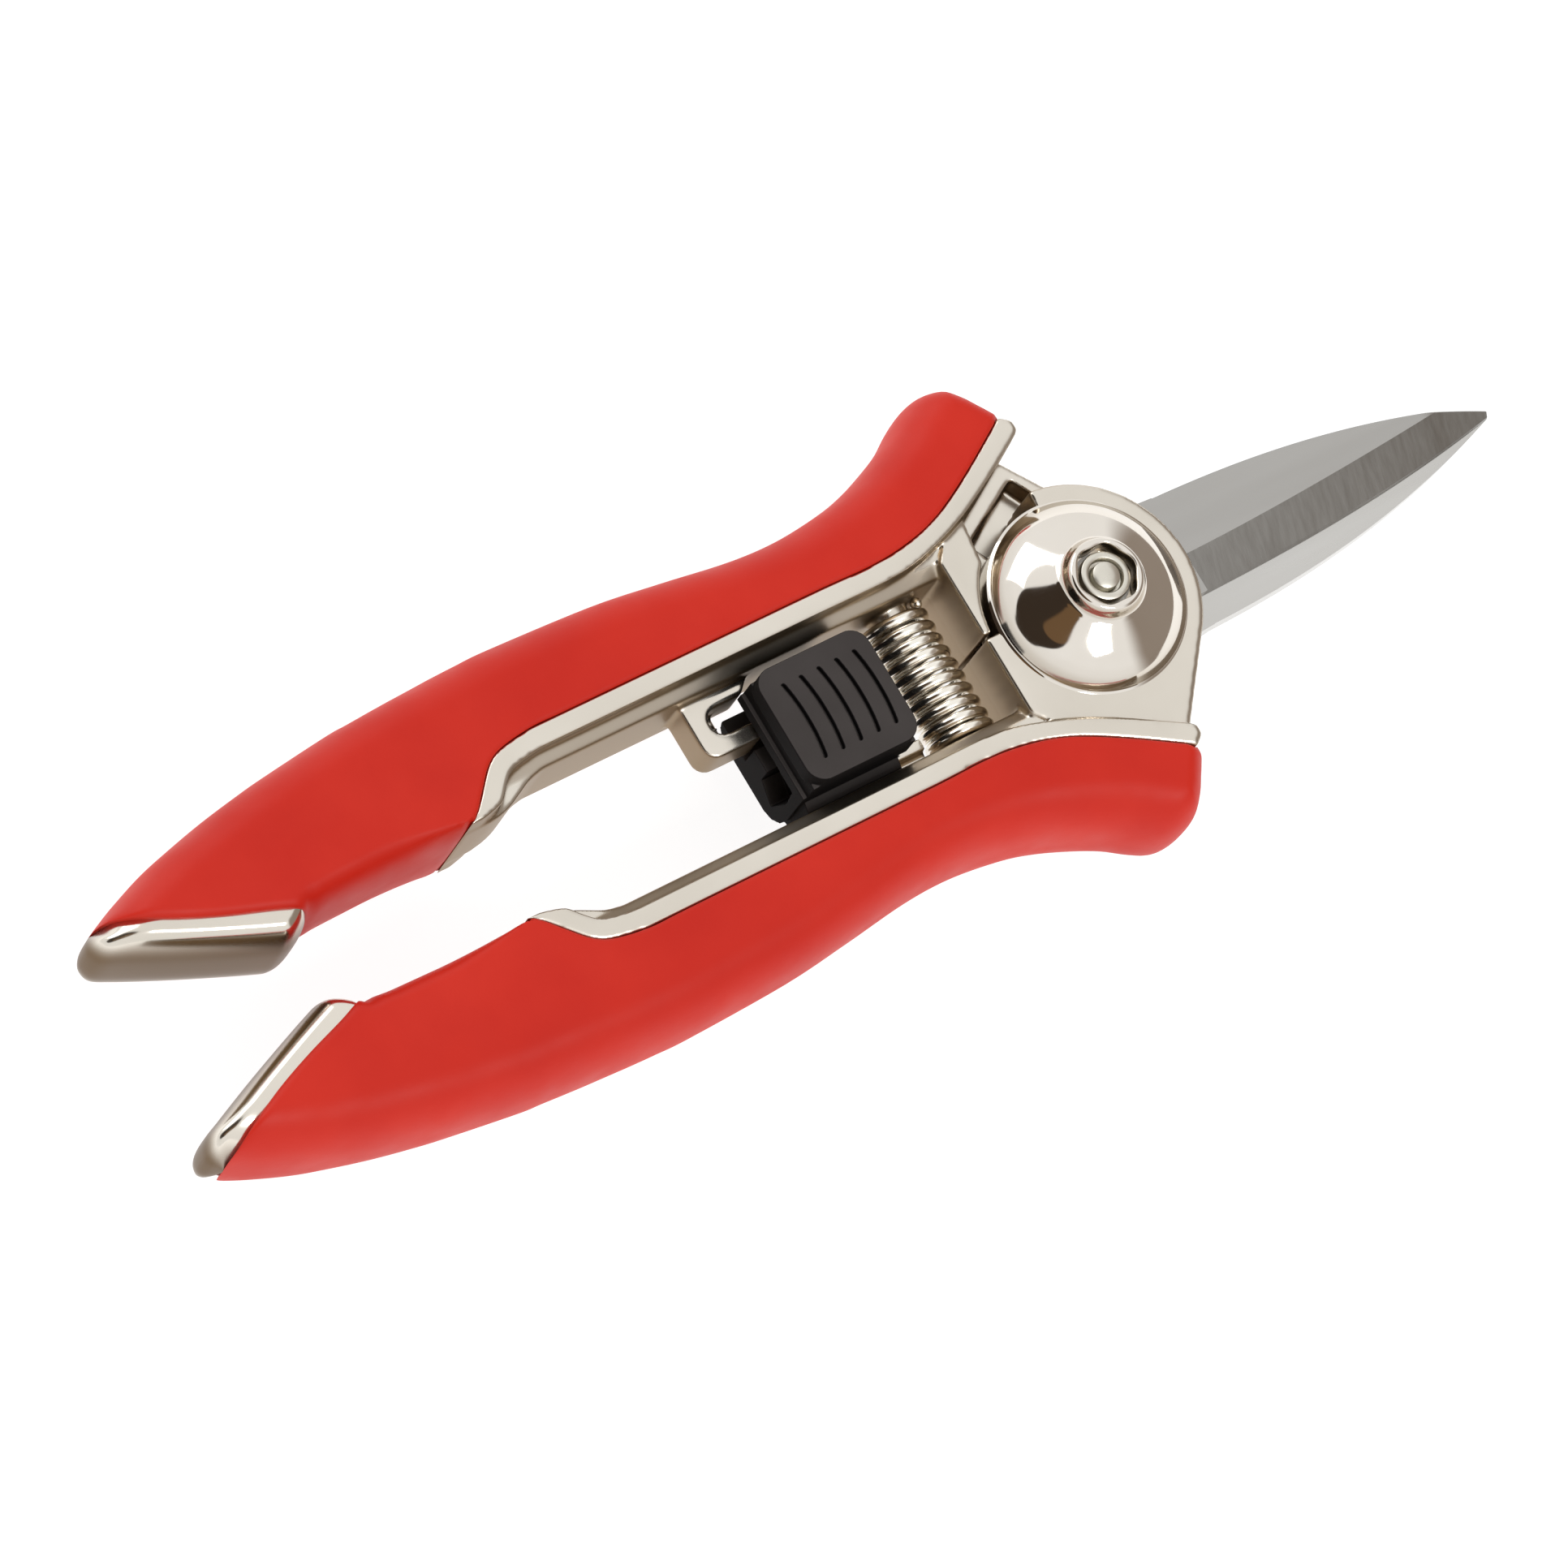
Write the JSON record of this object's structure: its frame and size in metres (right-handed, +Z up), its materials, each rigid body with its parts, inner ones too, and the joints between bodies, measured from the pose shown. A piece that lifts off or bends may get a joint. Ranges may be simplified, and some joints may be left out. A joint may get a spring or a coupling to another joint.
{
  "type": "spring-loaded snips",
  "caption": "Compact spring-loaded snips with two soft-gripped cast handles, a domed pivot, pointed straight blades, a coil return spring and a thumb slider lock.",
  "frame": {"origin": "on the pivot axis, at the flat under side of the pivot, on which the closed snips lie", "axes": "+X along the closed blades from the pivot to their tips; +Z up along the pivot axis, towards the nut; +Y towards the handle that carries the hook"},
  "size_m": [0.1682, 0.0532, 0.0251],
  "materials": {
    "plated_metal": "warm nickel plate on a zinc casting, polished to satin",
    "soft_grip": "soft satin red rubber",
    "blade_steel": "fine ground stainless steel",
    "plain_steel": "plain steel",
    "bolt_steel": "bright nickel-plated steel",
    "bronze": "plain bearing bronze",
    "spring_steel": "bright drawn wire",
    "lock_plastic": "charcoal moulded plastic"
  },
  "bodies": {
    "fixed_handle": {"handle_b": "plated_metal", "grip_b": "soft_grip", "blade_b": "blade_steel", "blade_rivets_b": "plain_steel", "pivot_bolt": "bolt_steel", "pivot_nut": "bolt_steel", "nut_washer": "plain_steel", "head_washer": "plain_steel", "blade_shim": "bronze", "return_spring": "spring_steel"},
    "moving_handle": {"handle_a": "plated_metal", "grip_a": "soft_grip", "blade_a": "blade_steel", "blade_rivets_a": "plain_steel", "pivot_bush": "bronze"},
    "lock": {"lock_slider": "lock_plastic", "detent_leaf": "spring_steel"}
  },
  "joints": [
    {"name": "handle_pivot", "type": "hinge", "parent": "fixed_handle", "child": "moving_handle", "pos_m": [0, 0, 0.01255], "axis": [0, 0, -1], "range_deg": [0, 24], "deforming": ["return_spring"]},
    {"name": "lock_slide", "type": "slide", "parent": "fixed_handle", "child": "lock", "axis": [1, 0, 0], "range_m": [0, 0.004]}
  ]
}
